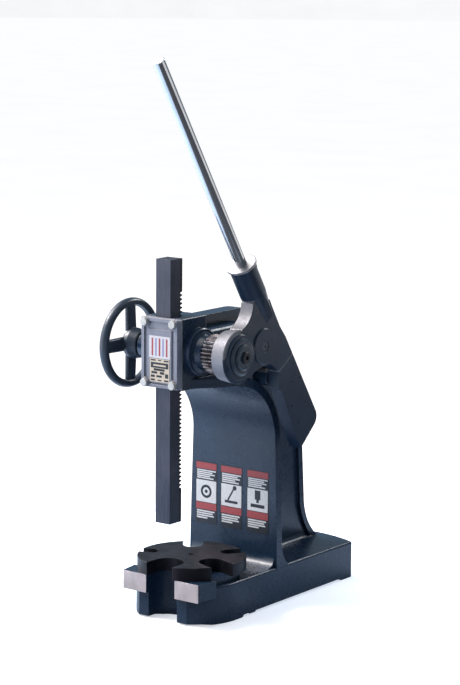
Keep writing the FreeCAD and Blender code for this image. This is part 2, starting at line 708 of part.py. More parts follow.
def make_handwheel():
    hub = turned_x([(-162, 22), (-160, 24), (-152, 26), (-144, 37), (-134, 38), (-112, 33), (-110, 31)])
    wheel = make_rim().fuse(hub)
    for i in range(SPOKES):
        root = spoke_section(30.0, 17.5, 14.0, -149.0)
        end = spoke_section(94.0, 16.5, 12.0, -151.0)
        spoke = Part.makeLoft([root, end], True)
        spoke.rotate(V(0, SHAFT_Y, SHAFT_Z), V(1, 0, 0), 360.0 / SPOKES * i)
        wheel = wheel.fuse(spoke)
    wheel = wheel.cut(rod_x(HANDWHEEL_SEAT + SEAT, -180, -100))
    wheel = wheel.cut(key_slot(HANDWHEEL_SEAT, -180, -100, SEAT))
    return wheel.cut(hub_screw_rod(HUB_SCREW + SEAT, 0.0, 40.0))


def spoke_section(height, half_width, thick, x):
    """Rounded flat section of a spoke at a height above the shaft axis."""
    radius = thick / 2.0
    z = SHAFT_Z + height
    a = V(x - radius, SHAFT_Y - half_width + radius, z)
    b = V(x - radius, SHAFT_Y + half_width - radius, z)
    c = V(x + radius, b.y, z)
    d = V(x + radius, a.y, z)
    return Part.Wire([line(a, b), arc(b, V(x, SHAFT_Y + half_width, z), c), line(c, d),
                      arc(d, V(x, SHAFT_Y - half_width, z), a)])


def hub_screw_rod(radius, start, length):
    """Cylinder for the handwheel's set screw, out of the back of the hub."""
    return Part.makeCylinder(radius, length, V(HUB_SCREW_X, SHAFT_Y + start, SHAFT_Z), V(0, 1, 0))


def make_handwheel_screw():
    length = 14.0
    start = HANDWHEEL_SEAT + SEAT + 0.2
    screw = hub_screw_rod(HUB_SCREW, start, length)
    end = V(HUB_SCREW_X, SHAFT_Y + start + length + 0.1, SHAFT_Z)
    return screw.cut(hexagon(4.0, 5.0, end, V(0, -1, 0)))


MESH_ANGLE = 45.0           # steep face of the tooth that the engaged pawl pushes
TOOTH_LEAN = 4.0            # lean of that face, so that the pawl's push passes through its pin
TOOTH_LAND = 1.8            # degrees of flat on a tooth's tip


def make_ratchet_wheel():
    step = 360.0 / WHEEL_TEETH
    points = []
    for i in range(WHEEL_TEETH):
        angle = MESH_ANGLE + i * step
        points.append(polar(WHEEL_ROOT, angle))
        points.append(polar(WHEEL_TIP, angle + TOOTH_LEAN))
        points.append(polar(WHEEL_TIP, angle + TOOTH_LEAN + TOOTH_LAND))
    toothed = 99.0
    wheel = prism_x(points, toothed, YOKE_FACE - 1.5)
    wheel = wheel.fuse(rod_x(30.0, WHEEL_FACE + 1, toothed + 0.5))
    wheel = wheel.cut(rod_x(WHEEL_SEAT + SEAT, WHEEL_FACE, YOKE_FACE))
    return wheel.cut(key_slot(WHEEL_SEAT, WHEEL_FACE, YOKE_FACE, SEAT))


COLLAR_FACE = 195.0         # outer face of the end collar


def make_end_washer():
    back = 184.4
    radius = 44.0
    washer = turned_x([(back, radius), (186.5, radius), (WASHER_FACE + 0.2, radius - 6)])
    return washer.cut(rod_x(END_SEAT + SEAT, back - 0.4, WASHER_FACE + 0.8))


def make_end_collar():
    back = WASHER_FACE + 0.4
    radius = 31.0
    collar = turned_x([(back, radius), (192.5, radius), (COLLAR_FACE, radius - 4)])
    return collar.cut(rod_x(SCREW_SEAT + SEAT, back - 0.6, COLLAR_FACE + 1))


def make_end_screw():
    radius = 14.0
    head = turned_x([(COLLAR_FACE + 0.2, radius), (199, radius), (200.5, radius - 2)])
    shank = rod_x(SCREW_SEAT, SCREW_TIP, COLLAR_FACE + 1)
    socket = hexagon(10.0, 5.0, V(COLLAR_FACE + 1, SHAFT_Y, SHAFT_Z), V(1, 0, 0))
    return head.fuse(shank).cut(socket)


# ---------------------------------------------------------------- ratchet lever
YOKE_X = (145.0, 180.0)
DRUM_X = (138.0, 184.0)     # ends of the drum that turns on the shaft
SOCKET_RADIUS = 32.0
PARTING = -133.0            # joint between yoke and counterweight, along the lever
PARTING_GAP = 0.6           # half the gap in that joint
REAR = 168.0                # rear edge of yoke and counterweight, across the lever
BUSH_RADIUS = 21.0
PIVOT = on_lever(PAWL_ALONG, PAWL_ACROSS)
PIN_HEAD = 11.5             # radius of the pawl pin's head
PIN_HEAD_X = 181.5          # seat of that head in the boss
STUD_ACROSS = (122.0, 150.0)
STUD_RADIUS = 6.0


def flat_lever(corners, bends, x0, x1):
    """Plate from (along, across) corners; bends maps a corner's number to the middle of the arc after it."""
    points = [lever_vector(along, across, x0) for along, across in corners]
    edges = []
    for i, point in enumerate(points):
        after = points[(i + 1) % len(points)]
        if i in bends:
            edges.append(arc(point, lever_vector(*bends[i], x0), after))
        else:
            edges.append(line(point, after))
    return prism(edges, V(x1 - x0, 0, 0))


def make_yoke():
    neck = 74.0
    foot = PARTING + PARTING_GAP
    front = [(neck, 107), (50, 42), (40, 0), (-40, -20), (-64, 0), (-68, 26), (-78, 56), (-94, 84), (foot, 103)]
    rear = [(foot, REAR), (-79, REAR - 0.5), (-41, 162.5), (20, 163.5), (40, 164.5), (neck, 140)]
    plate = flat_lever(front + rear, {0: (50.5, 73)}, *YOKE_X)
    x0, x1 = DRUM_X
    drum = turned_x([(x0, 57), (x0 + 2, 60), (176, 64.5), (178.5, 63), (179.5, 58.5), (179.5, 55), (181, 54),
                     (x1, 52), (x1, 24)])
    boss = turned_x([(179, 43.5), (182.5, 43.5), (x1, 41.5)], *PIVOT)
    inner_boss = turned_x([(137.5, 20), (139, 22), (146, 24)], *PIVOT)
    yoke = plate.fuse([drum, boss, inner_boss, *make_socket()])
    cuts = [rod_x(BUSH_RADIUS + SEAT, x0 - 8, x1 + 1)]
    cuts.append(rod_x(PAWL_PIN + SEAT, x0 - 8, x1 + 6, *PIVOT))
    cuts.append(rod_x(PIN_HEAD + 1, PIN_HEAD_X, x1 + 6, *PIVOT))
    cuts.append(rod_lever(ROD_RADIUS + SEAT, SOCKET_TOP - ROD_DEPTH - 4, SOCKET_TOP + 10))
    cuts.append(set_screw_rod(LEVER_SCREW + SEAT, 40))
    return yoke.cut(cuts + counterweight_studs(SEAT, 0.5))


def make_socket():
    """Round socket for the lever bar, easing down into the flat plate."""
    start = 78.0
    end = -30.0
    wide = SOCKET_RADIUS + 1
    x0, x1 = YOKE_X
    upper = rod_lever(SOCKET_RADIUS, start, SOCKET_TOP - 6)
    wedge = [(start, LEVER_X - wide), (start, LEVER_X + wide), (0, x1 + 0.1), (end, x1 + 0.1),
             (end, x0 - 0.1), (0, x0 - 0.1)]
    corners = [lever_vector(along, LEVER_OFFSET - 40, x) for along, x in wedge]
    flats = Part.Face(Part.makePolygon(corners + [corners[0]])).extrude(LEVER_BACK * 80)
    ease = Part.makeCone(22.0, SOCKET_RADIUS, start - end, lever_vector(end, LEVER_OFFSET, LEVER_X), LEVER_UP)
    return [upper, ease.common(flats)]


SCREW_ALONG = SOCKET_TOP - 22.0     # the lever's set screw, along the lever
LEVER_SCREW = 5.0


def set_screw_rod(radius, length, start=ROD_RADIUS + SEAT + 0.1):
    """Cylinder for the lever's set screw, out towards the back and right of the socket."""
    turn = math.radians(35.0)
    direction = LEVER_BACK * math.cos(turn) + V(math.sin(turn), 0, 0)
    centre = lever_vector(SCREW_ALONG, LEVER_OFFSET, LEVER_X)
    return Part.makeCylinder(radius, length, centre + direction * start, direction)


def make_set_screw():
    return set_screw_rod(LEVER_SCREW, 18.5)


def counterweight_studs(extra, longer):
    """Two studs across the joint of yoke and counterweight."""
    middle = sum(YOKE_X) / 2.0 + 0.5
    return [rod_lever(STUD_RADIUS + extra, PARTING - 45 - longer, PARTING + 30 + longer, across, middle)
            for across in STUD_ACROSS]


LUG = (-156.0, 104.0)       # stop lug on the counterweight, along and across the lever
LUG_REST = 0.4              # air gap between the resting lug and the arm's flange


def lug_radius():
    """Radius that lets the lug rest against the curved flange under the arm."""
    lug_y, lug_z = on_lever(*LUG)
    return math.hypot(lug_y - ARC_Y, lug_z - ARC_Z) - (THROAT_ARC + FLANGE) - LUG_REST


def make_counterweight():
    head = PARTING - PARTING_GAP
    x0 = YOKE_X[0] + 2
    corners = [(head, REAR), (head, 103), (-168, 80), (-185, 84), (-331, 72), (-356, 72), (-345, 143),
               (-320, REAR + 1)]
    weight = flat_lever(corners, {6: (-337, 161)}, x0, YOKE_X[1])
    lug = rod_x(lug_radius(), PAWL_X[0] + 2, x0 + 1, *on_lever(*LUG))
    return weight.fuse(lug).cut(counterweight_studs(SEAT, 0.5))


def make_lever_rod():
    edge = 1.5
    start = SOCKET_TOP - ROD_DEPTH
    tip = lever_vector(start + ROD_LENGTH, LEVER_OFFSET, LEVER_X)
    rod = rod_lever(ROD_RADIUS, start, start + ROD_LENGTH)
    return fillet_where(rod, edge, lambda p, e: e.Closed and (p - tip).Length < ROD_RADIUS + 5)


def make_lever_collar():
    edge = 2.0
    collar = rod_lever(SOCKET_RADIUS + 5, SOCKET_TOP - 5.8, SOCKET_TOP + 1.5)
    collar = fillet_where(collar, edge, lambda p, e: e.Closed and e.Length > 100)
    return collar.cut(rod_lever(ROD_RADIUS + SEAT, SOCKET_TOP - 20, SOCKET_TOP + 20))


def make_yoke_bush():
    x0, x1 = DRUM_X
    bush = rod_x(BUSH_RADIUS, x0 + 0.2, x1)
    return bush.cut(rod_x(YOKE_SEAT + RUN, x0 - 8, x1 + 6))


PAWL_X = (106.0, 136.0)
HUB_RADIUS = 22.0


def make_pawl():
    x0, x1 = PAWL_X
    y, z = PIVOT
    # Nose, drawn engaged with the wheel, then turned back to its parked place.
    nose = [polar(43.2, MESH_ANGLE - 0.8), polar(54.0, MESH_ANGLE + 6.0), polar(66.0, MESH_ANGLE - 12.0),
            (y - 4, z + 21), (y - 14, z - 14), polar(51.5, MESH_ANGLE - 26.0),
            polar(48.8, MESH_ANGLE - 12.0), polar(48.3, MESH_ANGLE - 5.5)]
    pawl = prism_x(nose, x0, x1)
    pawl.rotate(V(0, y, z), V(1, 0, 0), -PAWL_LIFT)
    pawl = pawl.fuse([rod_x(HUB_RADIUS, x0, x1, y, z), *make_pawl_tail()])
    return pawl.cut(rod_x(PAWL_PIN + RUN, x0 - 6, x1 + 4, y, z))


def make_pawl_tail():
    """Straight tail with a round toe that rests on the counterweight's lug."""
    toe = 8.0
    root = 15.0
    angle = math.radians(115.0)
    lug_y, lug_z = on_lever(*LUG)
    away = lug_radius() + toe + GAP
    tip = (lug_y + away * math.cos(angle), lug_z + away * math.sin(angle))
    run = (tip[0] - PIVOT[0], tip[1] - PIVOT[1])
    length = math.hypot(*run)
    side = (-run[1] / length, run[0] / length)

    def beside(point, distance):
        return (point[0] + side[0] * distance, point[1] + side[1] * distance)

    tail = [beside(PIVOT, root), beside(tip, toe), beside(tip, -toe), beside(PIVOT, -root)]
    return [prism_x(tail, *PAWL_X), rod_x(toe, *PAWL_X, *tip)]


RING_X = (103.0, 105.0)         # groove for the ring that keeps the pawl's pin
GROOVE_RADIUS = PAWL_PIN - 1.2


def make_pawl_pin():
    end = RING_X[0] - 2
    pin = turned_x([(end, PAWL_PIN - 1), (end + 1, PAWL_PIN), (PIN_HEAD_X, PAWL_PIN), (PIN_HEAD_X, PIN_HEAD),
                    (PIN_HEAD_X + 1.7, PIN_HEAD)], *PIVOT)
    core = rod_x(GROOVE_RADIUS, RING_X[0] - 1, RING_X[1] + 1, *PIVOT)
    groove = rod_x(PAWL_PIN + 1, *RING_X, *PIVOT).cut(core)
    return pin.cut([groove, rod_x(4.0, PIN_HEAD_X + 0.2, DRUM_X[1], *PIVOT)])


def make_pawl_ring():
    low = RING_X[0] - 1
    high = RING_X[1] + 1
    ring = rod_x(13.0, RING_X[0] + 0.1, RING_X[1] - 0.1, *PIVOT)
    slit = box((low, high), (PIVOT[0] - 3, PIVOT[0] + 3), (PIVOT[1] - 20, PIVOT[1]))
    return ring.cut([rod_x(GROOVE_RADIUS + SEAT, low, high, *PIVOT), slit])


# ---------------------------------------------------------------- write every piece
save("frame_casting", make_frame())
save("face_plate", make_face_plate())
save("face_plate_shims", make_shims())
save("face_plate_bolts", make_cover_bolts())
save("striped_badge", make_badge((-30.5, 32.5), (SHAFT_Z - 12.0, SHAFT_Z + 41.0)))
save("data_badge", make_badge((-28.0, 30.5), (SHAFT_Z - 69.0, SHAFT_Z - 13.5)))
save("label_left", make_label(-117.0))
save("label_middle", make_label(-39.0))
save("label_right", make_label(42.0))
save("left_bush", make_left_bush())
save("right_bush", make_right_bush())
save("platen_pin", make_platen_pin())
save("platen", make_platen())
save("ram", make_ram())
save("pinion_shaft", make_shaft())
save("handwheel", make_handwheel())
save("handwheel_key", make_key(HANDWHEEL_SEAT, HANDWHEEL_KEY))
save("handwheel_set_screw", make_handwheel_screw())
save("ratchet_wheel", make_ratchet_wheel())
save("ratchet_key", make_key(WHEEL_SEAT, WHEEL_KEY))
save("end_washer", make_end_washer())
save("end_collar", make_end_collar())
save("end_screw", make_end_screw())
save("yoke", make_yoke())
save("yoke_bush", make_yoke_bush())
save("counterweight", make_counterweight())
save("counterweight_studs", counterweight_studs(0.0, 0.0))
save("lever_rod", make_lever_rod())
save("lever_collar", make_lever_collar())
save("lever_set_screw", make_set_screw())
save("pawl", make_pawl())
save("pawl_pin", make_pawl_pin())
save("pawl_ring", make_pawl_ring())
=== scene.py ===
import json
import math

import bmesh
import bpy
from mathutils import Matrix, Vector


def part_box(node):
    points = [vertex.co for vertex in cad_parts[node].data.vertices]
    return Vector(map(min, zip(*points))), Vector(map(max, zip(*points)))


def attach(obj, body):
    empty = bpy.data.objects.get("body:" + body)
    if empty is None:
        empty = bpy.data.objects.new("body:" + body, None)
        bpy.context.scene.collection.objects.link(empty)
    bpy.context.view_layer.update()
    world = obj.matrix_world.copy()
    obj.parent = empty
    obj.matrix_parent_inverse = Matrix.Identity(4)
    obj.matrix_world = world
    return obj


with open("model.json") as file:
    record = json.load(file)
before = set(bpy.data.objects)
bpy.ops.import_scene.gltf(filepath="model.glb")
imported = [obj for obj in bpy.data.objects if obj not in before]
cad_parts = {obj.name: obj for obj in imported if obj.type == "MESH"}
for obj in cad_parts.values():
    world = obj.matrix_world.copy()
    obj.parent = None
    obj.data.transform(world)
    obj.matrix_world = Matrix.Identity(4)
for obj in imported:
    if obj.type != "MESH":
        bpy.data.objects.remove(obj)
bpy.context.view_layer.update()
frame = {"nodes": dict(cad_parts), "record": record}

MM = 0.001
WHITE = (1.0, 1.0, 1.0)

# Lever axis: its lean and the shaft axis it swings about.
LEAN = math.radians(33.0)
LEVER_UP = Vector((0.0, -math.sin(LEAN), math.cos(LEAN)))
LEVER_BACK = Vector((0.0, math.cos(LEAN), math.sin(LEAN)))
shaft_low, shaft_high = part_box("ratchet_wheel")
SHAFT_AXIS = (shaft_low + shaft_high) / 2.0


# ---------------------------------------------------------------- materials
def scaled(color, factor, offset=0.0):
    """A colour made lighter or darker, no brighter than white."""
    return tuple(min(1.0, offset + factor * c) for c in color)


def rgba(color):
    return (*color, 1.0)


class Look:
    """One procedural material: small helpers around a node tree."""

    def __init__(self, name):
        self.material = bpy.data.materials.new(name)
        self.material.use_nodes = True
        self.tree = self.material.node_tree
        self.tree.nodes.clear()
        self.output = self.add("ShaderNodeOutputMaterial")
        self.place = self.add("ShaderNodeTexCoord").outputs["Object"]

    def add(self, kind, **settings):
        node = self.tree.nodes.new(kind)
        for key, value in settings.items():
            setattr(node, key, value)
        return node

    def feed(self, socket, value):
        if isinstance(value, bpy.types.NodeSocket):
            self.tree.links.new(value, socket)
        else:
            socket.default_value = value

    def stretched(self, scale):
        """Object coordinates with a different scale along each axis."""
        mapping = self.add("ShaderNodeMapping")
        self.feed(mapping.inputs["Vector"], self.place)
        mapping.inputs["Scale"].default_value = scale
        return mapping.outputs[0]

    def noise(self, scale, detail=3.0, rough=0.55, vector=None, warp=0.0):
        node = self.add("ShaderNodeTexNoise")
        self.feed(node.inputs["Vector"], vector or self.place)
        node.inputs["Scale"].default_value = scale
        node.inputs["Detail"].default_value = detail
        node.inputs["Roughness"].default_value = rough
        node.inputs["Distortion"].default_value = warp
        return node.outputs["Fac"]

    def rings(self, scale, axis="Z", warp=0.3, vector=None):
        """Fine turning marks round an axis."""
        node = self.add("ShaderNodeTexWave", wave_type="RINGS", rings_direction=axis)
        self.feed(node.inputs["Vector"], vector or self.place)
        node.inputs["Scale"].default_value = scale
        node.inputs["Distortion"].default_value = warp
        node.inputs["Detail"].default_value = 2.0
        return node.outputs["Fac"]

    def curve(self, value, low, high, to_low=0.0, to_high=1.0):
        """Smooth step from to_low at low to to_high at high."""
        node = self.add("ShaderNodeMapRange")
        node.interpolation_type = "SMOOTHSTEP"
        self.feed(node.inputs["Value"], value)
        node.inputs["From Min"].default_value = low
        node.inputs["From Max"].default_value = high
        node.inputs["To Min"].default_value = to_low
        node.inputs["To Max"].default_value = to_high
        return node.outputs["Result"]

    def math(self, kind, a, b=0.0):
        node = self.add("ShaderNodeMath", operation=kind)
        self.feed(node.inputs[0], a)
        self.feed(node.inputs[1], b)
        return node.outputs[0]

    def blend(self, share, a, b):
        """Colour a where the share is 0, colour b where it is 1."""
        node = self.add("ShaderNodeMix", data_type="RGBA", blend_type="MIX")
        self.feed(node.inputs["Factor"], share)
        for socket, color in (("A", a), ("B", b)):
            linked = isinstance(color, bpy.types.NodeSocket)
            self.feed(node.inputs[socket], color if linked else rgba(color))
        return node.outputs["Result"]

    def rounded(self, radius):
        node = self.add("ShaderNodeBevel", samples=4)
        node.inputs["Radius"].default_value = radius
        return node.outputs["Normal"]

    def edges(self, radius):
        """1 where the surface turns sharply within a radius, 0 on flats."""
        dot = self.add("ShaderNodeVectorMath", operation="DOT_PRODUCT")
        self.feed(dot.inputs[0], self.rounded(radius))
        self.feed(dot.inputs[1], self.add("ShaderNodeNewGeometry").outputs["Normal"])
        return self.curve(dot.outputs["Value"], 0.995, 0.90)

    def corners(self, distance):
        """1 in inner corners and gaps, 0 in the open."""
        node = self.add("ShaderNodeAmbientOcclusion", samples=4)
        node.inputs["Distance"].default_value = distance
        return self.curve(node.outputs["AO"], 0.75, 0.30)

    def bump(self, height, strength, distance, normal=None):
        node = self.add("ShaderNodeBump")
        node.inputs["Strength"].default_value = strength
        node.inputs["Distance"].default_value = distance
        self.feed(node.inputs["Height"], height)
        if normal is not None:
            self.feed(node.inputs["Normal"], normal)
        return node.outputs["Normal"]

    def surface(self, color, roughness, normal, **constants):
        shader = self.add("ShaderNodeBsdfPrincipled")
        self.feed(shader.inputs["Base Color"], color)
        self.feed(shader.inputs["Roughness"], roughness)
        self.feed(shader.inputs["Normal"], normal)
        for key, value in constants.items():
            shader.inputs[key.replace("_", " ")].default_value = value
        return shader.outputs["BSDF"]

    def mixed(self, share, a, b):
        node = self.add("ShaderNodeMixShader")
        self.feed(node.inputs[0], share)
        self.tree.links.new(a, node.inputs[1])
        self.tree.links.new(b, node.inputs[2])
        return node.outputs[0]

    def inside(self, value, low, high):
        """1 where a value lies between two limits."""
        above = self.math("GREATER_THAN", value, low)
        return self.math("MULTIPLY", above, self.math("LESS_THAN", value, high))

    def done(self, shader):
        self.tree.links.new(shader, self.output.inputs["Surface"])
        return self.material

    def along(self, direction, origin=(0.0, 0.0, 0.0)):
        """Distance of a point along a direction, from an origin."""
        direction = Vector(direction).normalized()
        dot = self.add("ShaderNodeVectorMath", operation="DOT_PRODUCT")
        self.feed(dot.inputs[0], self.place)
        dot.inputs[1].default_value = direction
        return self.math("SUBTRACT", dot.outputs["Value"], direction.dot(Vector(origin)))


def machined(look, color, marks, roughness, radius=0.4 * MM, metallic=1.0):
    """Bare machined metal: tool marks, faint stains and slightly bright edges."""
    stains = look.curve(look.noise(28.0, 4.0), 0.35, 0.75)
    tone = look.blend(stains, color, scaled(color, 0.78))
    worn = look.math("MULTIPLY", look.edges(radius), 0.35)
    tone = look.blend(worn, tone, scaled(color, 1.25))
    rough = look.curve(look.noise(160.0, 3.0), 0.3, 0.7, roughness - 0.06, roughness + 0.08)
    normal = look.bump(marks, 0.35, 0.02 * MM, look.rounded(radius))
    return look.surface(tone, rough, normal, Metallic=metallic)


def cast_paint(look, dark, light, roughness, grain=1.0, level=0.35, coat=0.0, edge_wear_and_sheen=0.5):
    """Enamel over cast iron: mottled colour, sandy grain, edges lightened partly as worn thin paint and
    partly as painted highlight, painted shade darkening the corners.
    """
    cloud = look.curve(look.noise(5.0, 3.0, warp=0.4), 0.30, 0.72)
    mottle = look.noise(30.0, 5.0)
    speck = look.curve(look.noise(800.0, 2.0), 0.56, 0.72)
    share = look.math("ADD", look.math("MULTIPLY", cloud, 0.55), look.math("MULTIPLY", mottle, 0.45))
    tone = look.blend(share, dark, light)
    tone = look.blend(look.math("MULTIPLY", speck, 0.30), tone, scaled(light, 2.2))
    # Edges lightened towards a pale tint: partly paint worn thin, partly a painted highlight along the
    # edges.
    chips = look.curve(look.noise(120.0, 4.0), 0.42, 0.62, 0.25, 1.0)
    thin = look.math("MULTIPLY", look.edges(1.2 * MM), chips)
    tone = look.blend(look.math("MULTIPLY", thin, edge_wear_and_sheen), tone, scaled(light, 2.2, 0.10))
    # Painted shade: colour darkened where ambient occlusion finds inner corners and gaps.
    corner_shade = look.math("MULTIPLY", look.corners(12.0 * MM), 0.55)
    tone = look.blend(corner_shade, tone, scaled(dark, 0.35))
    rough = look.curve(look.noise(60.0, 4.0), 0.2, 0.8, roughness - 0.05, roughness + 0.05)
    fine, coarse = look.noise(520.0, 3.0, 0.6), look.noise(120.0, 2.0)
    sand = look.math("ADD", fine, look.math("MULTIPLY", coarse, 0.8))
    normal = look.bump(sand, 0.30 * grain, 0.20 * MM, look.rounded(1.6 * MM))
    return look.surface(tone, rough, normal,
                        Specular_IOR_Level=level, Coat_Weight=coat, Coat_Roughness=0.12)


def frame_paint():
    look = Look("frame_paint")
    paint = cast_paint(look, (0.007, 0.018, 0.040), (0.015, 0.033, 0.064), 0.29, level=0.42)
    marks = look.noise(240.0, 3.0, vector=look.stretched((1.0, 1.0, 9.0)))
    bare = machined(look, (0.68, 0.575, 0.555), marks, 0.52)
    # Bare in front of the first plane and below the second: the machined fronts of the two bosses.
    front_of_paint = -123.4 * MM
    above_base = 200.0 * MM
    face = look.math("LESS_THAN", look.along((0, 1, 0)), front_of_paint)
    low = look.math("LESS_THAN", look.along((0, 0, 1)), above_base)
    share = look.math("MULTIPLY", face, low)
    return look.done(look.mixed(share, paint, bare))


def cover_paint():
    look = Look("cover_paint")
    dark, light = (0.155, 0.158, 0.195), (0.245, 0.248, 0.295)
    return look.done(cast_paint(look, dark, light, 0.38, grain=0.8, edge_wear_and_sheen=0.7))


def wheel_paint():
    look = Look("wheel_paint")
    dark, light = (0.018, 0.026, 0.041), (0.036, 0.049, 0.071)
    return look.done(cast_paint(look, dark, light, 0.32, grain=0.5, level=0.5, edge_wear_and_sheen=0.4))


def hub_paint():
    look = Look("hub_paint")
    dark, light = (0.014, 0.026, 0.044), (0.028, 0.045, 0.070)
    return look.done(cast_paint(look, dark, light, 0.30, grain=0.5, level=0.5, coat=0.1))


def lever_paint():
    """Paint of yoke and counterweight, with the turned drum rim and the joint left bare, and a painted
    highlight on the neck in the lighter bare colour.
    """
    look = Look("lever_paint")
    paint = cast_paint(look, (0.007, 0.017, 0.038), (0.014, 0.031, 0.060), 0.31, level=0.40)
    origin = (0.0, SHAFT_AXIS.y, SHAFT_AXIS.z)
    y = look.along((0, 1, 0), origin)
    z = look.along((0, 0, 1), origin)
    radius = look.math("SQRT", look.math("ADD", look.math("MULTIPLY", y, y), look.math("MULTIPLY", z, z)))
    x = look.along((1, 0, 0))
    along = look.along(LEVER_UP, origin)
    across = look.along(LEVER_BACK, origin)
    marks = look.noise(420.0, 3.0, vector=look.stretched((6.0, 1.0, 1.0)))
    # Lighter bare colour: bare metal on the drum rim and the joint, a painted highlight on the neck.
    bare = machined(look, (0.20, 0.195, 0.215), marks, 0.50, metallic=0.4)
    # The drum's turned rim, up to just short of its painted outer face.
    rim_inner, rim_outer, rim_end = 55.5 * MM, 65.5 * MM, 176.2 * MM
    rim = look.inside(radius, rim_inner, rim_outer)
    rim = look.math("MULTIPLY", rim, look.math("LESS_THAN", x, rim_end))
    # Painted highlight: the concave front of the neck, bounded by a slanting line across the lever, gets
    # the lighter bare colour.
    neck_low, neck_high, neck_end = 36.0 * MM, 78.5 * MM, 179.7 * MM
    slant_foot, slant_reach, slant_rate = 50.0 * MM, 82.0 * MM, 2.0
    neck = look.inside(along, neck_low, neck_high)
    neck = look.math("MULTIPLY", neck, look.math("LESS_THAN", x, neck_end))
    rise = look.math("MULTIPLY", look.math("SUBTRACT", along, slant_foot), slant_rate)
    slant = look.math("SUBTRACT", across, rise)
    neck = look.math("MULTIPLY", neck, look.math("LESS_THAN", slant, slant_reach))
    # Bare strip where the counterweight is bolted to the yoke.
    joint_place, joint_half, joint_start = -133.0 * MM, 2.2 * MM, 90.0 * MM
    joint = look.inside(along, joint_place - joint_half, joint_place + joint_half)
    joint = look.math("MULTIPLY", joint, look.math("GREATER_THAN", across, joint_start))
    share = look.math("MAXIMUM", look.math("MAXIMUM", rim, neck), joint)
    return look.done(look.mixed(share, paint, bare))


def steel(name, color, roughness, metallic=1.0, radius=0.4 * MM):
    look = Look(name)
    marks = look.noise(300.0, 3.0, vector=look.stretched((1.0, 1.0, 14.0)))
    return look.done(machined(look, color, marks, roughness, radius, metallic))


def ram_steel():
    """Ground bar, darkened to near black on the rack's flanks, streaked along its length."""
    look = Look("ram_steel")
    streaks = look.noise(60.0, 4.0, vector=look.stretched((9.0, 9.0, 0.35)))
    cloud = look.noise(9.0, 3.0)
    tone = look.blend(look.curve(streaks, 0.3, 0.7), (0.032, 0.037, 0.052), (0.056, 0.061, 0.082))
    tone = look.blend(look.curve(cloud, 0.4, 0.75, 0.0, 0.5), tone, (0.10, 0.088, 0.11))
    # Near black behind a plane across the ram, on the rack's toothed part.
    rack_start, rack_full = -80.5 * MM, -79.5 * MM
    teeth = look.curve(look.along((0, 1, 0)), rack_start, rack_full)
    tone = look.blend(look.math("MULTIPLY", teeth, 0.85), tone, (0.008, 0.009, 0.013))
    tone = look.blend(look.math("MULTIPLY", look.edges(0.8 * MM), 0.5), tone, (0.22, 0.21, 0.24))
    rough = look.curve(streaks, 0.3, 0.7, 0.34, 0.46)
    normal = look.bump(streaks, 0.25, 0.03 * MM, look.rounded(0.8 * MM))
    return look.done(look.surface(tone, rough, normal, Metallic=0.45, Specular_IOR_Level=0.3))


def platen_iron():
    """Dark oiled iron with turning marks on its faces and faint purple patches."""
    look = Look("platen_iron")
    rings = look.rings(420.0, "Z", 0.6)
    cloud = look.noise(14.0, 4.0)
    tone = look.blend(look.curve(cloud, 0.35, 0.7), (0.006, 0.006, 0.009), (0.018, 0.016, 0.022))
    purple_patches = look.curve(look.noise(7.0, 2.0, warp=0.8), 0.50, 0.72, 0.0, 0.55)
    tone = look.blend(purple_patches, tone, (0.046, 0.027, 0.038))
    tone = look.blend(look.math("MULTIPLY", look.edges(0.9 * MM), 0.5), tone, (0.12, 0.11, 0.13))
    rough = look.curve(look.noise(45.0, 3.0), 0.3, 0.7, 0.30, 0.44)
    marks = look.math("ADD", rings, look.math("MULTIPLY", look.noise(300.0), 0.6))
    normal = look.bump(marks, 0.22, 0.03 * MM, look.rounded(0.9 * MM))
    return look.done(look.surface(tone, rough, normal, Metallic=0.15, Specular_IOR_Level=0.25))


def polished_rod():
    look = Look("polished_rod")
    lines = look.noise(900.0, 2.0, vector=look.stretched((1.0, 1.0, 12.0)))
    haze = look.noise(16.0, 4.0)
    tone = look.blend(look.curve(haze, 0.35, 0.75), (0.60, 0.60, 0.61), (0.52, 0.52, 0.54))
    rough = look.curve(haze, 0.3, 0.75, 0.09, 0.16)
    return look.done(look.surface(tone, rough, look.bump(lines, 0.05, 0.01 * MM), Metallic=1.0))


def ratchet_steel():
    """Machined teeth, bright on top, with painted shade darkening the gaps to near black."""
    look = Look("ratchet_steel")
    # Painted shade: the tooth gaps found by ambient occlusion are darkened to near black.
    gap_shade = look.corners(14.0 * MM)
    smear = look.curve(look.noise(70.0, 4.0), 0.40, 0.65)
    tone = look.blend(smear, (0.17, 0.15, 0.155), (0.06, 0.055, 0.06))
    tone = look.blend(gap_shade, tone, (0.010, 0.009, 0.010))
    rough = look.curve(smear, 0.0, 1.0, 0.30, 0.48)
    marks = look.noise(350.0, 3.0, vector=look.stretched((0.4, 3.0, 3.0)))
    normal = look.bump(marks, 0.3, 0.03 * MM, look.rounded(0.4 * MM))
    return look.done(look.surface(tone, rough, normal, Metallic=0.9))


def printed(name, color, second=None):
    """Printed film: slightly uneven ink under a thin clear layer, with dust specks."""
    look = Look(name)
    ink = look.curve(look.noise(260.0, 3.0), 0.35, 0.7)
    tone = look.blend(ink, color, second or scaled(color, 0.86))
    scuff = look.curve(look.noise(45.0, 5.0, warp=1.0), 0.62, 0.72, 0.0, 0.25)
    tone = look.blend(scuff, tone, scaled(color, 0.5, 0.08))
    rough = look.curve(look.noise(80.0), 0.3, 0.7, 0.30, 0.45)
    return look.done(look.surface(tone, rough, look.bump(ink, 0.05, 0.02 * MM), Specular_IOR_Level=0.4))


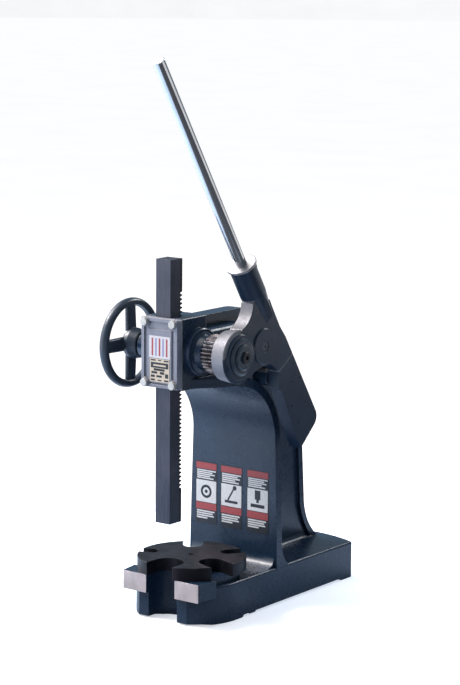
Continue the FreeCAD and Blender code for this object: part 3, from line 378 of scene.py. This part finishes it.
MATERIALS = {
    "frame_paint": frame_paint(),
    "cover_paint": cover_paint(),
    "wheel_paint": wheel_paint(),
    "hub_paint": hub_paint(),
    "lever_paint": lever_paint(),
    "bare_steel": steel("bare_steel", (0.42, 0.40, 0.41), 0.36),
    "zinc_steel": steel("zinc_steel", (0.52, 0.50, 0.475), 0.48, metallic=0.5, radius=0.8 * MM),
    "ratchet_steel": ratchet_steel(),
    "ram_steel": ram_steel(),
    "platen_iron": platen_iron(),
    "polished_rod": polished_rod(),
    "bronze": steel("bronze", (0.55, 0.36, 0.17), 0.38),
    "black_screw": steel("black_screw", (0.035, 0.035, 0.040), 0.42, metallic=0.6),
    "striped_print": printed("striped_print", (0.62, 0.58, 0.60)),
    "data_print": printed("data_print", (0.56, 0.46, 0.36), (0.49, 0.40, 0.31)),
    "label_print": printed("label_print", (0.012, 0.015, 0.022)),
}

for part in frame["record"]["subparts"]:
    node = frame["nodes"][part["node"]]
    node.data.materials.clear()
    node.data.materials.append(MATERIALS[part["material_slot"]])


# ---------------------------------------------------------------- printed areas on labels and badges
INKS = {
    "white": printed("ink_white", (0.68, 0.66, 0.66)),
    "red": printed("ink_red", (0.36, 0.055, 0.055), (0.30, 0.045, 0.05)),
    "black": printed("ink_black", (0.010, 0.012, 0.018)),
    "lavender": printed("ink_lavender", (0.26, 0.26, 0.42)),
    "tan": printed("ink_tan", (0.56, 0.46, 0.36)),
}
INK_NAMES = list(INKS)
INK_THICK = 0.05 * MM
INK_SUNK = 0.01 * MM
# Later shapes stand a little higher than earlier ones, in shares of the ink's thickness.
LAYER_STEP = 0.04
LAYER_SPREAD = 0.15


def print_piece(name, node, shapes, body):
    """Raised ink on the front of a flat node; a shape is (ink, [(u, v), ...]) in shares of the face."""
    low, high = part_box(node)
    mesh = bpy.data.meshes.new(name)
    piece = bpy.data.objects.new(name, mesh)
    bpy.context.scene.collection.objects.link(piece)
    work = bmesh.new()
    for layer, (ink, outline) in enumerate(shapes):
        front = low.y - INK_THICK * (1.0 + LAYER_SPREAD * layer / len(shapes) + LAYER_STEP * layer)
        corners = [(low.x + u * (high.x - low.x), low.z + v * (high.z - low.z)) for u, v in outline]
        face_points = [work.verts.new((x, front, z)) for x, z in corners]
        back_points = [work.verts.new((x, low.y + INK_SUNK, z)) for x, z in corners]
        faces = [work.faces.new(face_points), work.faces.new(back_points[::-1])]
        count = len(corners)
        for i in range(count):
            j = (i + 1) % count
            faces.append(work.faces.new([face_points[j], face_points[i], back_points[i], back_points[j]]))
        for face in faces:
            face.material_index = INK_NAMES.index(ink)
    bmesh.ops.recalc_face_normals(work, faces=work.faces)
    work.to_mesh(mesh)
    work.free()
    for ink in INK_NAMES:
        mesh.materials.append(INKS[ink])
    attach(piece, body)


def patch(ink, u0, v0, u1, v1):
    """Rectangle between two corners."""
    return (ink, [(u0, v0), (u1, v0), (u1, v1), (u0, v1)])


def bar(ink, a, b, width, aspect):
    """Straight bar between two points; aspect is the face's height over its width."""
    ax, ay = a
    bx, by = b
    dx, dy = bx - ax, (by - ay) * aspect
    length = math.hypot(dx, dy)
    nx, ny = -dy / length * width / 2.0, dx / length * width / 2.0 / aspect
    return (ink, [(ax + nx, ay + ny), (ax - nx, ay - ny), (bx - nx, by - ny), (bx + nx, by + ny)])


def disc(ink, u, v, radius, aspect):
    """Round spot; the radius is a share of the face's width."""
    steps = 20
    turns = [2.0 * math.pi * i / steps for i in range(steps)]
    return (ink, [(u + radius * math.cos(turn), v + radius * math.sin(turn) / aspect) for turn in turns])


def text_rows(ink, u0, u1, v_top, rows, pitch, height, ends):
    """Plain lines that stand for small print."""
    rights = [u0 + (u1 - u0) * ends[i % len(ends)] for i in range(rows)]
    tops = [v_top - i * pitch for i in range(rows)]
    return [patch(ink, u0, top - height, right, top) for right, top in zip(rights, tops)]


def label_shapes(symbol):
    """Column label, from the top: red band, rows, white panel with a symbol, red band, rows."""
    upper_band, lower_band = (0.885, 0.985), (0.225, 0.335)
    panel = (0.345, 0.70)
    shapes = [patch("red", 0.02, upper_band[0], 0.98, upper_band[1])]
    shapes += text_rows("white", 0.06, 0.95, 0.868, 5, 0.031, 0.021, (1.0, 0.82, 0.94, 0.7, 0.88))
    shapes += [patch("white", 0.03, panel[0], 0.97, panel[1])]
    shapes += symbol
    shapes += [patch("red", 0.02, lower_band[0], 0.98, lower_band[1])]
    shapes += text_rows("white", 0.06, 0.90, 0.207, 4, 0.036, 0.023, (1.0, 0.9, 0.96, 0.6))
    return shapes


label_low, label_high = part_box("label_left")
TALL = (label_high.z - label_low.z) / (label_high.x - label_low.x)
RING = [disc("black", 0.50, 0.52, 0.26, TALL),
        disc("white", 0.50, 0.52, 0.16, TALL),
        disc("black", 0.50, 0.52, 0.07, TALL)]
LEVER = [bar("black", (0.20, 0.42), (0.80, 0.42), 0.10, TALL),
         bar("black", (0.34, 0.44), (0.62, 0.64), 0.07, TALL),
         disc("black", 0.66, 0.65, 0.09, TALL)]
RAM_AND_PLATE = [bar("black", (0.50, 0.68), (0.50, 0.53), 0.26, TALL),
                 bar("black", (0.18, 0.43), (0.82, 0.43), 0.13, TALL),
                 bar("black", (0.50, 0.53), (0.50, 0.48), 0.12, TALL)]
SYMBOLS = {"label_left": RING, "label_middle": LEVER, "label_right": RAM_AND_PLATE}
for label, symbol in SYMBOLS.items():
    print_piece(label + "_ink", label, label_shapes(symbol), "frame")

STRIPES, STRIPE_START, STRIPE_PITCH, STRIPE_WIDTH = 5, 0.12, 0.17, 0.08
stripes = []
for i in range(STRIPES):
    left = STRIPE_START + i * STRIPE_PITCH
    stripes.append(patch("lavender" if i % 2 else "red", left, 0.10, left + STRIPE_WIDTH, 0.90))
print_piece("striped_badge_ink", "striped_badge", stripes, "frame")

# Plain blocks on the data badge, from the top; a block is (left, bottom, right, top) in shares of the face.
TOP_BLOCKS = [(0.04, 0.90, 0.30, 0.965), (0.42, 0.92, 0.58, 0.965), (0.72, 0.90, 0.96, 0.965)]
FRAME_BLOCK, FRAME_WINDOW = (0.05, 0.60, 0.95, 0.84), (0.18, 0.68, 0.82, 0.75)
MIDDLE_BLOCKS = [(0.20, 0.48, 0.76, 0.58), (0.08, 0.35, 0.38, 0.45), (0.52, 0.34, 0.74, 0.45)]
LOW_BLOCKS = [(0.05, 0.19, 0.26, 0.29), (0.34, 0.20, 0.62, 0.29), (0.78, 0.20, 0.95, 0.38)]
FOOT_BLOCKS = [(0.05, 0.04, 0.26, 0.12), (0.40, 0.05, 0.60, 0.10), (0.74, 0.04, 0.95, 0.12)]
plate = [patch("black", *block) for block in TOP_BLOCKS]
plate += [patch("black", *FRAME_BLOCK), patch("tan", *FRAME_WINDOW)]
plate += [patch("black", *block) for block in MIDDLE_BLOCKS + LOW_BLOCKS + FOOT_BLOCKS]
print_piece("data_badge_ink", "data_badge", plate, "frame")


# ---------------------------------------------------------------- floor, light and camera
FLOOR_RADIUS, FLOOR_HEIGHT = 150.0, -0.5 * MM
BACKDROP_FOOT, BACKDROP_HEAD, BACKDROP_TOP = 45.0, 80.0, 18.0
CLOTH_RADIUS, CLOTH_HEIGHT = 4.2, -0.2 * MM
ROUND_STEPS = 96


def set_piece(name, work, material, height=0.0):
    """Put a finished mesh on the stage."""
    mesh = bpy.data.meshes.new(name)
    work.to_mesh(mesh)
    work.free()
    mesh.materials.append(material)
    thing = bpy.data.objects.new(name, mesh)
    thing.location.z = height
    bpy.context.scene.collection.objects.link(thing)
    return thing


def round_sheet(radius):
    work = bmesh.new()
    bmesh.ops.create_circle(work, cap_ends=True, radius=radius, segments=ROUND_STEPS)
    return work


def floor_material():
    look = Look("floor")
    share = look.curve(look.noise(1.5, 3.0), 0.3, 0.7)
    tone = look.blend(share, (0.625, 0.605, 0.595), (0.655, 0.635, 0.625))
    normal = look.bump(look.noise(30.0), 0.05, 0.2 * MM)
    return look.done(look.surface(tone, 0.85, normal, Specular_IOR_Level=0.1,
                                  Emission_Color=rgba(WHITE), Emission_Strength=0.42))


def make_backdrop(material):
    """Rising pale rim round the floor, seen by the camera only, so that low views end on it."""
    work = bmesh.new()
    turns = [2.0 * math.pi * i / ROUND_STEPS for i in range(ROUND_STEPS)]
    low = [work.verts.new((BACKDROP_FOOT * math.cos(turn), BACKDROP_FOOT * math.sin(turn), 0.0))
           for turn in turns]
    high = [work.verts.new((BACKDROP_HEAD * math.cos(turn), BACKDROP_HEAD * math.sin(turn), BACKDROP_TOP))
            for turn in turns]
    for i in range(ROUND_STEPS):
        work.faces.new([low[i - 1], high[i - 1], high[i], low[i]])
    bmesh.ops.recalc_face_normals(work, faces=work.faces)
    backdrop = set_piece("backdrop", work, material)
    backdrop.visible_diffuse = False
    backdrop.visible_glossy = False
    backdrop.visible_shadow = False


def cloth_material():
    """Dark cloth, pale close behind the press and on a strip in front of it to the left."""
    look = Look("dark_cloth")
    dark = look.blend(look.noise(2.0), (0.045, 0.050, 0.060), (0.060, 0.066, 0.078))
    reach = look.add("ShaderNodeVectorMath", operation="LENGTH")
    look.feed(reach.inputs[0], look.place)
    close = look.curve(reach.outputs["Value"], 1.3, 0.9)
    behind = look.curve(look.along((0, 1, 0)), -0.4, 0.2)
    front_left = look.curve(look.along((-0.6, -0.8, 0.0)), 0.35, 0.60)
    pale = look.math("MAXIMUM", look.math("MULTIPLY", close, behind), front_left)
    tone = look.blend(pale, dark, (0.50, 0.64, 0.84))
    return look.done(look.surface(tone, 0.9, look.bump(look.noise(40.0), 0.05, MM)))


def make_cloth():
    """Cloth under the press that only bounced light and reflections see; the camera sees the pale floor."""
    cloth = set_piece("dark_cloth", round_sheet(CLOTH_RADIUS), cloth_material(), CLOTH_HEIGHT)
    cloth.visible_camera = False
    cloth.visible_shadow = False


def make_stage():
    pale = floor_material()
    set_piece("floor", round_sheet(FLOOR_RADIUS), pale, FLOOR_HEIGHT)
    make_backdrop(pale)


LIT_POINT = (0.0, 0.0, 0.5)
WARM, COOL = (1.0, 0.95, 0.94), (0.95, 0.97, 1.0)
# Name, position, width and height in metres, power in watts, colour.
AREA_LIGHTS = [
    ("key", (-2.7, -1.0, 3.7), (1.6, 1.6), 215.0, WARM),
    ("back_top", (0.8, 3.3, 2.9), (1.6, 0.7), 60.0, COOL),
    ("front_left", (-1.75, -1.9, 1.15), (2.2, 2.0), 32.0, (0.93, 0.96, 1.0)),
    ("left_strip", (-3.0, 0.6, 1.5), (0.8, 2.4), 40.0, COOL),
]


def aim(thing, position, target):
    thing.location = position
    thing.rotation_euler = (Vector(target) - Vector(position)).to_track_quat("-Z", "Y").to_euler()


def add_light(name, kind, position, power, color):
    light = bpy.data.lights.new(name, kind)
    light.energy = power
    light.color = color
    thing = bpy.data.objects.new(name, light)
    bpy.context.scene.collection.objects.link(thing)
    aim(thing, position, LIT_POINT)
    return thing


def area_light(name, position, size, power, color):
    thing = add_light(name, "AREA", position, power, color)
    thing.visible_camera = False
    thing.data.shape = "RECTANGLE"
    thing.data.size, thing.data.size_y = size


def make_lights():
    world = bpy.data.worlds.new("studio")
    bpy.context.scene.world = world
    world.use_nodes = True
    background = world.node_tree.nodes["Background"]
    background.inputs["Color"].default_value = (0.62, 0.82, 1.0, 1.0)
    background.inputs["Strength"].default_value = 0.30
    sun = add_light("sky_panel", "SUN", (-2.4, -1.0, 4.6), 2.6, (1.0, 0.97, 0.95))
    sun.data.angle = math.radians(60.0)
    for light in AREA_LIGHTS:
        area_light(*light)


# The camera of the photo: what it looks at, from how far, and its angles in degrees.
CAMERA_TARGET = Vector((0.18026, -0.0937, 0.69666))
CAMERA_DISTANCE = 5.45894
CAMERA_AZIMUTH, CAMERA_ELEVATION, CAMERA_ROLL = 36.56, 9.66, 0.47
CAMERA_LENS, CAMERA_SENSOR, CAMERA_REACH = 184.0, 36.0, 1000.0


def make_camera():
    azimuth, elevation, roll = map(math.radians, (CAMERA_AZIMUTH, CAMERA_ELEVATION, CAMERA_ROLL))
    level_back = Vector((math.sin(azimuth), -math.cos(azimuth), 0.0))
    back = level_back * math.cos(elevation) + Vector((0.0, 0.0, math.sin(elevation)))
    right = Vector((math.cos(azimuth), math.sin(azimuth), 0.0))
    up = back.cross(right)
    tilted_right = right * math.cos(roll) + up * math.sin(roll)
    tilted_up = up * math.cos(roll) - right * math.sin(roll)
    data = bpy.data.cameras.new("camera")
    data.lens = CAMERA_LENS
    data.sensor_fit = "HORIZONTAL"
    data.sensor_width = CAMERA_SENSOR
    data.clip_end = CAMERA_REACH
    camera = bpy.data.objects.new("camera", data)
    bpy.context.scene.collection.objects.link(camera)
    place = Matrix((tilted_right, tilted_up, back)).transposed().to_4x4()
    place.translation = CAMERA_TARGET + back * CAMERA_DISTANCE
    camera.matrix_world = place
    bpy.context.scene.camera = camera


make_stage()
make_lights()
make_cloth()
make_camera()
bpy.context.scene.view_settings.view_transform = "Standard"
